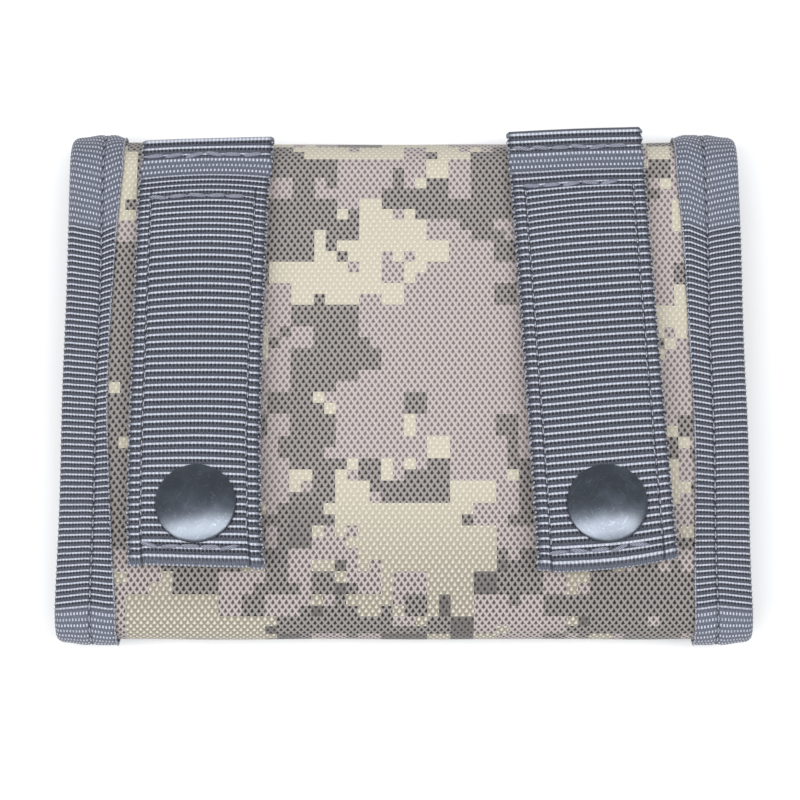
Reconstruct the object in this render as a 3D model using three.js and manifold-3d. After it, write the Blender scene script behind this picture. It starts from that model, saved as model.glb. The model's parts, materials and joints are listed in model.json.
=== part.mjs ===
// Trifold wallet, closed: a back panel with a flap folded under it from each end, bound side edges,
// and two webbing carry straps that close with press snaps on the outside of the back panel.
// Millimetres. Origin at the middle of the underside, +X across the width, +Y towards the top fold, +Z up.

import * as THREE from 'three';
import { mergeVertices } from 'three/addons/utils/BufferGeometryUtils.js';
import Module from 'manifold-3d';

const wasm = await Module();
wasm.setup();

// ---- Driving dimensions -------------------------------------------------------------------------

const WIDTH = 130;
const LENGTH = 100;
const THICKNESS = 17;

const TOP_FOLD_RADIUS = THICKNESS / 2; // round the outside of the outer flap's fold
const BOTTOM_FOLD_RADIUS = 6; // the inner flap folds in tighter, above the outer flap
const OUTER_FLAP_END = -46; // y of each flap's free edge
const INNER_FLAP_END = 2;
const SPLIT_GAP = 0.2; // half the slit between two bodies, at the fold's outside
const SPLIT_OVERRUN = -1; // how far a cutting tool runs past a slit

// Every panel is built inwards from its outer skin: each layer is a pair of depths.
const TAPE = { thickness: 0.6, total: 3.6, width: 10.5 };
const SHELL = [0.7, 1.3];
const CORE = [1.4, 2.4];
const LINING = [2.5, 2.9];
const BILL_WALL = [3.0, 3.4];
const TAPE_SLOT = [0.6, 3.0];
const SHEET = { thickness: 0.4, pitch: 0.5, firstDepth: 3.5, width: 106, margin: 1 };
const CARD_SLOT_MOUTHS = [32, 20, 8]; // y of each slot's open edge, deepest slot first
const CARD_SLOT_FLOOR = -33; // y of the seam that all the slots share
const COIN_POCKET = { depth: LINING[1] + 0.1, from: -40, to: -12 };

const CLOSURE = { width: 60, from: -34, to: -14, hookDepth: 3.5, hook: 0.7, loop: 1.0 };
const ID_POCKET = { width: 100, from: -10, to: 36, border: 8, margin: 2, vinyl: 0.25, frame: 0.35 };

const STRAP = {
  width: 25,
  layer: 1.0,
  slot: 0.6,
  bottom: -1.4, // underside, measured from the hinge line
  start: 0.3,
  doubled: 6, // where the second layer begins, from the hinge line
  length: 78.1,
  hingeY: 41.5,
  hingeZ: 18.6,
  tilt: THREE.MathUtils.degToRad(2.6),
};
const STIFFENER = { start: 7, end: 75.5, width: 20, thickness: 0.4 };
const STRAPS = [
  { side: 'left', x: -38, yaw: THREE.MathUtils.degToRad(-0.3), anchor: 5.3, snapX: -0.1 },
  { side: 'right', x: 33.3, yaw: THREE.MathUtils.degToRad(3), anchor: 6.2, snapX: 0.6 },
];

const SNAP = {
  y: -26.5,
  capRadius: 7.5,
  capHeight: 2.2,
  postRadius: 1.9,
  socketRadius: 6.25,
  socketHeight: 2.1,
  recessRadius: 3.45,
  studRadius: 5.75,
  studHeadRadius: 3.15,
  studHeight: 2.8,
  rivetRadius: 1.15,
  rivetFlange: 6,
  rivetPlay: 0.15,
  plate: 0.5, // sheet metal of the socket's top and the rivet's flange
};
const CLEARANCE = 0.1;
const ARC_SEGMENTS = 6;
const ROUND_SEGMENTS = 32;

// ---- Materials ----------------------------------------------------------------------------------

const finish = (color, roughness, metalness = 0) => ({ color, roughness, metalness });
const FINISHES = {
  camouflage: finish(0xb3aca0, 0.85),
  foam: finish(0x8d8d8a, 0.95),
  lining: finish(0x6d7072, 0.8),
  webbing: finish(0x6a6e7b, 0.8),
  hook_and_loop: finish(0x5c6068, 0.95),
  vinyl: finish(0xd9dcdc, 0.2),
  stiffener: finish(0x2a2a2c, 0.5),
  snap: finish(0x30363f, 0.3, 0.9),
};

function piece(name, geometry, look) {
  const mesh = new THREE.Mesh(geometry, new THREE.MeshStandardMaterial(FINISHES[look]));
  mesh.name = name;
  return mesh;
}

// ---- Solids: join, cut and extrude --------------------------------------------------------------

function toManifold(geometry) {
  const bare = geometry.clone();
  bare.deleteAttribute('normal');
  bare.deleteAttribute('uv');
  const merged = mergeVertices(bare, 1e-4);
  const mesh = new wasm.Mesh({
    numProp: 3,
    vertProperties: merged.attributes.position.array,
    triVerts: Uint32Array.from(merged.index.array),
  });
  return new wasm.Manifold(mesh);
}

function toGeometry(manifold) {
  const mesh = manifold.getMesh();
  const geometry = new THREE.BufferGeometry();
  geometry.setAttribute('position', new THREE.BufferAttribute(mesh.vertProperties, 3));
  geometry.setIndex(new THREE.BufferAttribute(mesh.triVerts, 1));
  geometry.computeVertexNormals();
  return geometry;
}

function cut(geometry, ...tools) {
  let solid = toManifold(geometry);
  for (const tool of tools) {
    solid = solid.subtract(toManifold(tool));
  }
  return toGeometry(solid);
}

const PROFILE_TO_BODY = new THREE.Matrix4().makeBasis(
  new THREE.Vector3(0, 1, 0),
  new THREE.Vector3(0, 0, 1),
  new THREE.Vector3(1, 0, 0),
);

// A profile drawn in (y, z), extruded across the width.
function across(profile, xFrom, xTo) {
  const settings = { depth: xTo - xFrom, bevelEnabled: false, curveSegments: ARC_SEGMENTS };
  const geometry = new THREE.ExtrudeGeometry(profile, settings);
  return geometry.applyMatrix4(PROFILE_TO_BODY).translate(xFrom, 0, 0);
}

function box(x, y, z) {
  const geometry = new THREE.BoxGeometry(x[1] - x[0], y[1] - y[0], z[1] - z[0]);
  return geometry.translate((x[0] + x[1]) / 2, (y[0] + y[1]) / 2, (z[0] + z[1]) / 2);
}

// A profile of [radius, height] points turned about the vertical.
function turned(points) {
  const profile = points.map(([radius, height]) => new THREE.Vector2(radius, height));
  return new THREE.LatheGeometry(profile, ROUND_SEGMENTS).rotateX(Math.PI / 2);
}

// A tool for an upright hole, long enough to pass through everything.
function drill(x, y, radius) {
  const geometry = new THREE.CylinderGeometry(radius, radius, 4 * THICKNESS, ROUND_SEGMENTS);
  return geometry.rotateX(Math.PI / 2).translate(x, y, THICKNESS);
}

// ---- Panels: layers that run round the folds ----------------------------------------------------

const topFold = {
  y: LENGTH / 2 - TOP_FOLD_RADIUS,
  z: THICKNESS - TOP_FOLD_RADIUS,
  radius: TOP_FOLD_RADIUS,
};
const bottomFold = {
  y: -LENGTH / 2 + BOTTOM_FOLD_RADIUS,
  z: THICKNESS - BOTTOM_FOLD_RADIUS,
  radius: BOTTOM_FOLD_RADIUS,
};
const innerSkin = bottomFold.z - bottomFold.radius;

const EIGHTH = Math.PI / 4;

// The stretches that each body covers, from one end to the other. An arc is part of a fold, with
// angles from +Y towards +Z; an edge is the free end of a flap, whose skin lies at height z.
function stretches(body, gap, inset) {
  const top = gap / topFold.radius;
  const bottom = gap / bottomFold.radius;
  const list = {
    back: [
      { fold: bottomFold, from: 3 * EIGHTH - bottom, to: 2 * EIGHTH },
      { fold: topFold, from: 2 * EIGHTH, to: EIGHTH + top },
    ],
    top_spine: [{ fold: topFold, from: EIGHTH - top, to: -EIGHTH + top }],
    outer_flap: [
      { fold: topFold, from: -EIGHTH - top, to: -2 * EIGHTH },
      { edge: OUTER_FLAP_END + inset, z: 0 },
    ],
    bottom_spine: [{ fold: bottomFold, from: 3 * EIGHTH + bottom, to: 5 * EIGHTH - bottom }],
    inner_flap: [
      { fold: bottomFold, from: 5 * EIGHTH + bottom, to: 6 * EIGHTH },
      { edge: INNER_FLAP_END - inset, z: innerSkin },
    ],
  };
  return list[body];
}

function trace(path, stretch, depth, forwards) {
  if (stretch.fold) {
    const [from, to] = forwards ? [stretch.from, stretch.to] : [stretch.to, stretch.from];
    const { y, z, radius } = stretch.fold;
    path.absarc(y, z, radius - depth, from, to, from > to);
  } else {
    path.lineTo(stretch.edge, stretch.z + depth);
  }
}

// The closed profile of one layer: its outer side walked one way and its inner side back.
function layerProfile(body, [depthFrom, depthTo], { gap = SPLIT_GAP, inset = 0 } = {}) {
  const profile = new THREE.Shape();
  const run = stretches(body, gap, inset);
  run.forEach((stretch) => trace(profile, stretch, depthFrom, true));
  run.reverse().forEach((stretch) => trace(profile, stretch, depthTo, false));
  return profile;
}

const halfWidth = WIDTH / 2;
const bindingInside = halfWidth - TAPE.width;
const sheetEdge = TAPE.thickness + CLEARANCE;
const layerHalfWidth = halfWidth - sheetEdge;

function layer(body, depths, halfSpan = layerHalfWidth) {
  return across(layerProfile(body, depths, { inset: sheetEdge }), -halfSpan, halfSpan);
}

// The layer between the bindings: it stops short of the flap's bound end as well.
function innerLayer(body, depths) {
  const halfSpan = bindingInside - CLEARANCE;
  const inset = TAPE.width + CLEARANCE;
  return across(layerProfile(body, depths, { inset }), -halfSpan, halfSpan);
}

const bandProfile = (body) => layerProfile(body, [0, TAPE.total]);

function slotTool(body) {
  const profile = layerProfile(body, TAPE_SLOT, { gap: SPLIT_OVERRUN, inset: TAPE.thickness });
  const halfSpan = halfWidth - TAPE.thickness;
  return across(profile, -halfSpan, halfSpan);
}

function sideBinding(body, side) {
  const span = side === 'left' ? [-halfWidth, -bindingInside] : [bindingInside, halfWidth];
  const band = across(bandProfile(body), ...span);
  return piece(`${body}_binding_${side}`, cut(band, slotTool(body)), 'webbing');
}

// One tape that runs down both sides of a flap and across its free end.
function flapBinding(body, yWindow) {
  const band = across(bandProfile(body), -halfWidth, halfWidth);
  const window = box([-bindingInside, bindingInside], yWindow, [-THICKNESS, THICKNESS]);
  return piece(`${body}_binding`, cut(band, slotTool(body), window), 'webbing');
}

// A flat sheet sewn inside, at a depth below the skin; direction is +1 where inwards is up.
function innerSheet(halfSpan, y, skin, direction, depth, thickness) {
  const near = skin + direction * depth;
  const far = near + direction * thickness;
  return box([-halfSpan, halfSpan], y, [Math.min(near, far), Math.max(near, far)]);
}

// ---- Snaps --------------------------------------------------------------------------------------

function snapReach(strap) {
  return (STRAP.hingeY - SNAP.y + strap.snapX * Math.sin(strap.yaw)) / Math.cos(strap.yaw);
}

function snapCentre(strap) {
  const reach = snapReach(strap);
  const x = strap.x + strap.snapX * Math.cos(strap.yaw) + reach * Math.sin(strap.yaw);
  return [x, SNAP.y];
}

function capGeometry(postLength) {
  const { capRadius, capHeight, postRadius } = SNAP;
  return turned([
    [0, -postLength],
    [postRadius, -postLength],
    [postRadius, 0],
    [capRadius - 0.4, 0],
    [capRadius, 0.35],
    [capRadius - 0.15, 0.75],
    [capRadius - 0.9, 1.3],
    [capRadius - 2.5, capHeight - 0.35],
    [capRadius - 5, capHeight - 0.05],
    [0, capHeight],
  ]);
}

function socketGeometry() {
  const { socketRadius, socketHeight, recessRadius, postRadius, plate } = SNAP;
  const bore = postRadius + 2 * CLEARANCE;
  return turned([
    [bore, -plate],
    [recessRadius, -plate],
    [recessRadius, -socketHeight],
    [socketRadius - 0.4, -socketHeight],
    [socketRadius, -socketHeight + 0.4],
    [socketRadius, 0],
    [bore, 0],
    [bore, -plate],
  ]);
}

function studGeometry() {
  const { studRadius, studHeadRadius, studHeight, rivetRadius, rivetPlay } = SNAP;
  const bore = rivetRadius + rivetPlay;
  const neck = studHeadRadius - 0.5;
  return turned([
    [bore, 0],
    [studRadius, 0],
    [studRadius, 0.4],
    [studRadius - 0.5, 0.7],
    [neck, 0.7],
    [neck, 1.3],
    [studHeadRadius, 1.8],
    [studHeadRadius, 2.3],
    [neck, studHeight],
    [bore, studHeight],
    [bore, 0],
  ]);
}

function rivetGeometry(height) {
  const { rivetRadius, rivetFlange, plate } = SNAP;
  return turned([
    [0, -plate],
    [rivetFlange, -plate],
    [rivetFlange, 0],
    [rivetRadius, 0],
    [rivetRadius, height],
    [0, height],
  ]);
}

// ---- Carry straps -------------------------------------------------------------------------------

// The webbing runs out from the hinge line, folds back at its end and is sewn to itself, with a
// stiffener in the slot between its two layers. Drawn in (y, z) from the hinge line.
function strapProfile() {
  const { layer: webbing, slot, bottom, start, doubled, length } = STRAP;
  const top = bottom + 2 * webbing + slot;
  const endRadius = (top - bottom) / 2;
  const profile = new THREE.Shape();
  profile.moveTo(-start, bottom);
  profile.lineTo(-start, bottom + webbing);
  profile.lineTo(-length + 2 * endRadius, bottom + webbing);
  profile.lineTo(-length + 2 * endRadius, top - webbing);
  profile.lineTo(-doubled, top - webbing);
  profile.lineTo(-doubled, top);
  profile.absarc(-length + endRadius, bottom + endRadius, endRadius, Math.PI / 2, -Math.PI / 2, false);
  return profile;
}

// The sewn-down end of the webbing, folded under once.
function anchorProfile(length) {
  const top = -CLEARANCE;
  const radius = STRAP.layer;
  const profile = new THREE.Shape();
  profile.moveTo(STRAP.start, top - 2 * radius);
  profile.absarc(length - radius, top - radius, radius, -Math.PI / 2, Math.PI / 2, false);
  profile.lineTo(STRAP.start, top);
  return profile;
}

function strapPieces(strap) {
  const { side, snapX } = strap;
  const halfSpan = STRAP.width / 2;
  const top = STRAP.bottom + 2 * STRAP.layer + STRAP.slot;
  const reach = snapReach(strap);
  const barrel = drill(snapX, -reach, SNAP.postRadius + CLEARANCE);

  const webbing = cut(across(strapProfile(), -halfSpan, halfSpan), barrel);
  const stiffenerBottom = STRAP.bottom + STRAP.layer + CLEARANCE;
  const blade = box(
    [-STIFFENER.width / 2, STIFFENER.width / 2],
    [-STIFFENER.end, -STIFFENER.start],
    [stiffenerBottom, stiffenerBottom + STIFFENER.thickness],
  );
  const postLength = top - STRAP.bottom + CLEARANCE + SNAP.plate;
  const cap = piece(`strap_${side}_cap`, capGeometry(postLength), 'snap');
  cap.position.set(snapX, -reach, top + CLEARANCE);
  const socket = piece(`strap_${side}_socket`, socketGeometry(), 'snap');
  socket.position.set(snapX, -reach, STRAP.bottom - CLEARANCE);

  const moving = new THREE.Group();
  moving.rotation.x = -STRAP.tilt;
  moving.add(piece(`strap_${side}_webbing`, webbing, 'webbing'));
  moving.add(piece(`strap_${side}_stiffener`, cut(blade, barrel), 'stiffener'));
  moving.add(cap, socket);

  const anchor = across(anchorProfile(strap.anchor), -halfSpan, halfSpan);
  const hinge = new THREE.Group();
  hinge.position.set(strap.x, STRAP.hingeY, STRAP.hingeZ);
  hinge.rotation.z = strap.yaw;
  hinge.add(moving, piece(`strap_${side}_anchor`, anchor, 'webbing'));
  return hinge;
}

function snapSeat(strap) {
  const [x, y] = snapCentre(strap);
  const shellTop = THICKNESS - SHELL[0];
  const shellUnder = THICKNESS - SHELL[1];
  const stud = piece(`snap_${strap.side}_stud`, studGeometry(), 'snap');
  stud.position.set(x, y, shellTop + CLEARANCE);
  const rivetHeight = shellTop - shellUnder + SNAP.studHeight - CLEARANCE;
  const rivet = piece(`snap_${strap.side}_rivet`, rivetGeometry(rivetHeight), 'snap');
  rivet.position.set(x, y, shellUnder - CLEARANCE);
  return [stud, rivet];
}

// ---- Bodies -------------------------------------------------------------------------------------

function backPanel() {
  const drillSnaps = (radius) => STRAPS.map((strap) => drill(...snapCentre(strap), radius));
  const rivetHoles = drillSnaps(SNAP.rivetRadius + SNAP.rivetPlay);
  const flangeHoles = drillSnaps(SNAP.rivetFlange + 2 * SNAP.rivetPlay);
  const coreSpan = bindingInside - SHEET.margin;
  const core = box(
    [-coreSpan, coreSpan],
    [bottomFold.y + SHEET.margin, topFold.y - SHEET.margin],
    [THICKNESS - CORE[1], THICKNESS - CORE[0]],
  );
  const slots = CARD_SLOT_MOUTHS.map((mouth, index) => {
    const depth = SHEET.firstDepth + index * SHEET.pitch;
    const y = [CARD_SLOT_FLOOR, mouth];
    const sheet = innerSheet(SHEET.width / 2, y, THICKNESS, -1, depth, SHEET.thickness);
    return piece(`card_slot_${index + 1}`, sheet, 'lining');
  });
  return [
    piece('back_shell', cut(layer('back', SHELL), ...rivetHoles), 'camouflage'),
    piece('back_core', cut(core, ...flangeHoles), 'foam'),
    piece('back_lining', layer('back', LINING), 'lining'),
    piece('back_bill_wall', innerLayer('back', BILL_WALL), 'lining'),
    sideBinding('back', 'left'),
    sideBinding('back', 'right'),
    ...slots,
    ...STRAPS.flatMap(snapSeat),
  ];
}

function topSpine() {
  return [
    piece('top_spine_shell', layer('top_spine', SHELL), 'camouflage'),
    piece('top_spine_lining', layer('top_spine', LINING), 'lining'),
    piece('top_spine_bill_wall', innerLayer('top_spine', BILL_WALL), 'lining'),
    sideBinding('top_spine', 'left'),
    sideBinding('top_spine', 'right'),
  ];
}

function bottomSpine() {
  return [
    piece('bottom_spine_shell', layer('bottom_spine', SHELL), 'camouflage'),
    piece('bottom_spine_lining', layer('bottom_spine', LINING), 'lining'),
    sideBinding('bottom_spine', 'left'),
    sideBinding('bottom_spine', 'right'),
  ];
}

function flapCore(y, skin) {
  return innerSheet(bindingInside - SHEET.margin, y, skin, 1, CORE[0], CORE[1] - CORE[0]);
}

function outerFlap() {
  const windowFrom = OUTER_FLAP_END + TAPE.width;
  const coreEnds = [windowFrom + SHEET.margin, topFold.y - SHEET.margin];
  const hookEnds = [CLOSURE.from, CLOSURE.to];
  const hook = innerSheet(CLOSURE.width / 2, hookEnds, 0, 1, CLOSURE.hookDepth, CLOSURE.hook);

  const { width, from, to, border, margin, vinyl, frame } = ID_POCKET;
  const halfSpan = width / 2;
  const windowEnds = [from + margin, to - margin];
  const windowSheet = innerSheet(halfSpan - margin, windowEnds, 0, 1, SHEET.firstDepth, vinyl);
  const frameDepth = SHEET.firstDepth + vinyl + CLEARANCE / 2;
  const frameSheet = innerSheet(halfSpan, [from, to], 0, 1, frameDepth, frame);
  const opening = box(
    [-halfSpan + border, halfSpan - border],
    [from + border, to - border],
    [0, THICKNESS],
  );
  return [
    piece('outer_flap_shell', layer('outer_flap', SHELL), 'camouflage'),
    piece('outer_flap_core', flapCore(coreEnds, 0), 'foam'),
    piece('outer_flap_lining', layer('outer_flap', LINING), 'lining'),
    piece('outer_flap_bill_wall', innerLayer('outer_flap', BILL_WALL), 'lining'),
    flapBinding('outer_flap', [windowFrom, LENGTH]),
    piece('closure_hook_tape', hook, 'hook_and_loop'),
    piece('id_window', windowSheet, 'vinyl'),
    piece('id_frame', cut(frameSheet, opening), 'lining'),
  ];
}

function innerFlap() {
  const windowTo = INNER_FLAP_END - TAPE.width;
  const coreEnds = [bottomFold.y + SHEET.margin, windowTo - SHEET.margin];
  const loopEnds = [CLOSURE.from, CLOSURE.to];
  const loopSkin = innerSkin + SHELL[0] - CLEARANCE;
  const loop = innerSheet(CLOSURE.width / 2, loopEnds, loopSkin, -1, 0, CLOSURE.loop);
  const pocketEnds = [COIN_POCKET.from, COIN_POCKET.to];
  const pocket = innerSheet(SHEET.width / 2, pocketEnds, innerSkin, 1, COIN_POCKET.depth, SHEET.thickness);
  return [
    piece('inner_flap_shell', layer('inner_flap', SHELL), 'camouflage'),
    piece('inner_flap_core', flapCore(coreEnds, innerSkin), 'foam'),
    piece('inner_flap_lining', layer('inner_flap', LINING), 'lining'),
    flapBinding('inner_flap', [-LENGTH, windowTo]),
    piece('closure_loop_tape', loop, 'hook_and_loop'),
    piece('coin_pocket', pocket, 'lining'),
  ];
}

const group = new THREE.Group();
group.add(...backPanel(), ...topSpine(), ...outerFlap(), ...bottomSpine(), ...innerFlap());
group.add(...STRAPS.map(strapPieces));

export default group;
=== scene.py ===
"""The looks of the closed trifold wallet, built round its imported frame.

Lengths are in millimetres until a mesh is made.
"""

import json
import math

import bpy
import numpy as np
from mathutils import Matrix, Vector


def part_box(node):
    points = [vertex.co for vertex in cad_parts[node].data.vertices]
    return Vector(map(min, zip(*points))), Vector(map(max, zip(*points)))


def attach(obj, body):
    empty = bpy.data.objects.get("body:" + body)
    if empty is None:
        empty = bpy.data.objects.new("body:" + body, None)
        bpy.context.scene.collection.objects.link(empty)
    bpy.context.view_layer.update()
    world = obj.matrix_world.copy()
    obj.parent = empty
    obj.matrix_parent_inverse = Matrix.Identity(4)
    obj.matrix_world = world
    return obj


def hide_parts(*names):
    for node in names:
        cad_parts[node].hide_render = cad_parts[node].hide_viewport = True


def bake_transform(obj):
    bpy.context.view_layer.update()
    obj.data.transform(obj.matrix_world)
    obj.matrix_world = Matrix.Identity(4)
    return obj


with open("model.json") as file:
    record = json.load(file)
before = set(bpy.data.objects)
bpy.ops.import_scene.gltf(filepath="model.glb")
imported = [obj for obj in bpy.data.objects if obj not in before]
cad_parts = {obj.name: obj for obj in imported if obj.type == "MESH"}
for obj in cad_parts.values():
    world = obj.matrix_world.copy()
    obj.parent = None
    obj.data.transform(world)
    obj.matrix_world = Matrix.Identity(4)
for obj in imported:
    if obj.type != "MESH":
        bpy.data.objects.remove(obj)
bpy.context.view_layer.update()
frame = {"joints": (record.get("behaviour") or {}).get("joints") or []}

MM = 0.001
SEED = 11
TAU = 2 * math.pi


def box_mm(node):
    """Lowest and highest corner of a CAD node, in millimetres."""
    low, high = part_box(node)
    return np.array(low) / MM, np.array(high) / MM


JOINTS = {joint["name"]: joint for joint in frame["joints"]}


def joint_place(name):
    return np.array(JOINTS[name]["pos_m"]) / MM


# ---- The wallet's outline, from the frame ----

HALF_WIDTH = box_mm("back_binding_right")[1][0]
PANEL_TOP = box_mm("back_binding_left")[1][2]
TOP_Y = box_mm("top_spine_binding_left")[1][1]
BOTTOM_Y = box_mm("bottom_spine_binding_left")[0][1]
OUTER_END = box_mm("outer_flap_binding")[0][1]
INNER_END = box_mm("inner_flap_binding")[1][1]
INNER_SKIN = box_mm("inner_flap_shell")[0][2] - 0.7  # the tape's face lies below the shell's
TOP_RADIUS = PANEL_TOP / 2
BOTTOM_RADIUS = (PANEL_TOP - INNER_SKIN) / 2


class Wrap:
    """The outer skin's path in (y, z), by length s from the outer flap's free edge to the inner flap's."""

    def __init__(self):
        self.top_centre = (TOP_Y - TOP_RADIUS, TOP_RADIUS)
        self.bottom_centre = (BOTTOM_Y + BOTTOM_RADIUS, PANEL_TOP - BOTTOM_RADIUS)
        self.top_start = self.top_centre[0] - OUTER_END
        self.top_end = self.top_start + math.pi * TOP_RADIUS
        self.bottom_start = self.top_end + self.top_centre[0] - self.bottom_centre[0]
        self.bottom_end = self.bottom_start + math.pi * BOTTOM_RADIUS
        self.end = self.bottom_end + INNER_END - self.bottom_centre[0]
        self.top_middle = (self.top_start + self.top_end) / 2
        self.bottom_middle = (self.bottom_start + self.bottom_end) / 2

    def at(self, s):
        """Points on the skin and its outward normals, both as arrays of (y, z)."""
        s = np.asarray(s, float)
        top = np.clip((s - self.top_start) / TOP_RADIUS, 0, math.pi) - math.pi / 2
        bottom = np.clip((s - self.bottom_start) / BOTTOM_RADIUS, 0, math.pi)
        angle = top + bottom
        normal = np.stack([np.cos(angle), np.sin(angle)], -1)
        centre = np.where((s < self.bottom_start)[..., None], self.top_centre, self.bottom_centre)
        radius = np.where(s < self.bottom_start, TOP_RADIUS, BOTTOM_RADIUS)
        point = centre + radius[..., None] * normal
        past = np.minimum(s - self.top_start, 0)
        on_back = np.clip(s - self.top_end, 0, self.bottom_start - self.top_end)
        past = past + on_back * (s < self.bottom_start)
        past = past + np.minimum(s - self.bottom_start, 0) * (s >= self.bottom_start)
        past = past + np.maximum(s - self.bottom_end, 0)
        tangent = np.stack([-normal[..., 1], normal[..., 0]], -1)
        return point + past[..., None] * tangent, normal

    def y_to_s(self, y):
        """The length at which the back panel has this y."""
        return self.top_end + self.top_centre[0] - y


WRAP = Wrap()


def on_wrap(x, s, depth):
    """Points at (x, s) that lie depth inwards from the skin."""
    point, normal = WRAP.at(s)
    point = point - depth[..., None] * normal
    return np.stack([x, point[..., 0], point[..., 1]], -1)


# ---- Where the cloth bends ----

DIAGONAL = math.sqrt(0.5)


class Crease:
    """One hinge line: the two bodies it joins, and the slanting stretch over which cloth turns."""

    def __init__(self, panel, spine, centre, radius, side, up, reach):
        outward = np.array([side, up]) * DIAGONAL
        along = np.array([side, -up]) * DIAGONAL
        middle = np.array(centre) + radius * outward
        self.bodies = (panel, spine)
        self.start = (0, *((middle - reach * along) * MM))
        self.end = (0, *((middle + reach * along) * MM))


TOP_REACH = 3.4
BOTTOM_REACH = 1.7
CREASES = {
    "outer": Crease("outer_flap", "top_spine", WRAP.top_centre, TOP_RADIUS, 1, -1, TOP_REACH),
    "upper": Crease("back", "top_spine", WRAP.top_centre, TOP_RADIUS, 1, 1, TOP_REACH),
    "lower": Crease("back", "bottom_spine", WRAP.bottom_centre, BOTTOM_RADIUS, -1, 1, BOTTOM_REACH),
    "inner": Crease("inner_flap", "bottom_spine", WRAP.bottom_centre, BOTTOM_RADIUS, -1, -1, BOTTOM_REACH),
}
BACK_SEAM = WRAP.y_to_s(-25)  # where the upper and the lower section meet on the back panel
# Each section of cloth crosses one crease. They meet in the middle of each fold and on the back panel.
SECTIONS = {
    "outer": (0, WRAP.top_middle),
    "upper": (WRAP.top_middle, BACK_SEAM),
    "lower": (BACK_SEAM, WRAP.bottom_middle),
    "inner": (WRAP.bottom_middle, WRAP.end),
}


def bend(piece, section):
    crease = CREASES[section]
    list(crease.bodies)
    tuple(crease.start)
    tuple(crease.end)
    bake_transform(piece)
    return piece


# ---- Mesh helpers ----


def put_in_scene(thing):
    bpy.context.scene.collection.objects.link(thing)
    return thing


def new_mesh(name, points, faces, uv, material):
    """A smooth mesh from points in millimetres, with one UV per point, in millimetres of cloth."""
    mesh = bpy.data.meshes.new(name)
    mesh.from_pydata((np.asarray(points) * MM).tolist(), [], [list(face) for face in faces])
    layer = mesh.uv_layers.new(name="cloth")
    corners = np.zeros(len(mesh.loops), np.int32)
    mesh.loops.foreach_get("vertex_index", corners)
    layer.data.foreach_set("uv", np.asarray(uv, np.float32)[corners].ravel())
    mesh.polygons.foreach_set("use_smooth", [True] * len(mesh.polygons))
    mesh.materials.append(material)
    return put_in_scene(bpy.data.objects.new(name, mesh))


def grid_faces(rows, columns, closed=False):
    """Quads of a rows x columns grid of points; closed joins the last column to the first."""
    starts = columns if closed else columns - 1
    row, column = np.meshgrid(np.arange(rows - 1), np.arange(starts), indexing="ij")
    following = (column + 1) % columns
    a = row * columns + column
    b = row * columns + following
    return np.stack([a, b, b + columns, a + columns], -1).reshape(-1, 4)


def keep_edges_sharp(mesh):
    """Marks the open edges sharp, so that a seam between two sections doesn't show in the shading."""
    mesh.update(calc_edges=True)
    uses = np.zeros(len(mesh.edges), int)
    loop_edges = np.zeros(len(mesh.loops), np.int32)
    mesh.loops.foreach_get("edge_index", loop_edges)
    np.add.at(uses, loop_edges, 1)
    mesh.edges.foreach_set("use_edge_sharp", uses == 1)


def grid_piece(name, points, uv, material, thickness, keep=None):
    """A sheet from a grid of points, given thickness on the side away from its normals."""
    faces = grid_faces(*points.shape[:2])
    if keep is not None:
        faces = faces[keep.ravel()]
    piece = new_mesh(name, points.reshape(-1, 3), faces, uv.reshape(-1, 2), material)
    keep_edges_sharp(piece.data)
    solid = piece.modifiers.new("thickness", "SOLIDIFY")
    solid.thickness = thickness * MM
    solid.offset = -1
    return piece


def tube_piece(name, points, uv, material):
    """A closed skin from rings of points: rows run along it, columns run round it."""
    rows, columns = points.shape[:2]
    last = (rows - 1) * columns
    faces = grid_faces(rows, columns, closed=True).tolist()
    faces.append(list(reversed(range(columns))))
    faces.append([last + i for i in range(columns)])
    piece = new_mesh(name, points.reshape(-1, 3), faces, uv.reshape(-1, 2), material)
    for edge in piece.data.edges:
        a, b = edge.vertices
        if (a < columns and b < columns) or (a >= last and b >= last):
            edge.use_edge_sharp = True
    return piece


def smooth_step(value, low, high):
    t = np.clip((np.asarray(value, float) - low) / (high - low), 0, 1)
    return t * t * (3 - 2 * t)


def window(value, start, full_from, full_to, end):
    """Rises from 0 to 1 between the first two lengths, and falls back between the last two."""
    return smooth_step(value, start, full_from) * (1 - smooth_step(value, full_to, end))


def direction(here, ahead):
    """The unit vector from one point towards another."""
    return (ahead - here) / np.linalg.norm(ahead - here)


def ripple(x, y, lengths, seed):
    """Soft random unevenness between about -1 and 1, as a sum of a few waves."""
    chance = np.random.default_rng(seed)
    total = np.zeros(np.broadcast(x, y).shape)
    for length in lengths:
        for _ in range(4):
            heading, phase = chance.uniform(0, TAU, 2)
            total = total + np.sin((np.cos(heading) * x + np.sin(heading) * y) * TAU / length + phase)
    return total / (2.2 * math.sqrt(4 * len(lengths)))


# ---- Materials ----


class Value:
    """A value that a material's nodes work out. Arithmetic on it adds nodes."""

    def __init__(self, shader, socket):
        self.shader = shader
        self.socket = socket

    def __add__(self, other):
        return self.shader.math("ADD", self, other)

    def __sub__(self, other):
        return self.shader.math("SUBTRACT", self, other)

    def __mul__(self, other):
        return self.shader.math("MULTIPLY", self, other)

    def __truediv__(self, other):
        return self.shader.math("DIVIDE", self, other)

    def __gt__(self, other):
        return self.shader.math("GREATER_THAN", self, other)

    def __abs__(self):
        return self.shader.math("ABSOLUTE", self)


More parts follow.
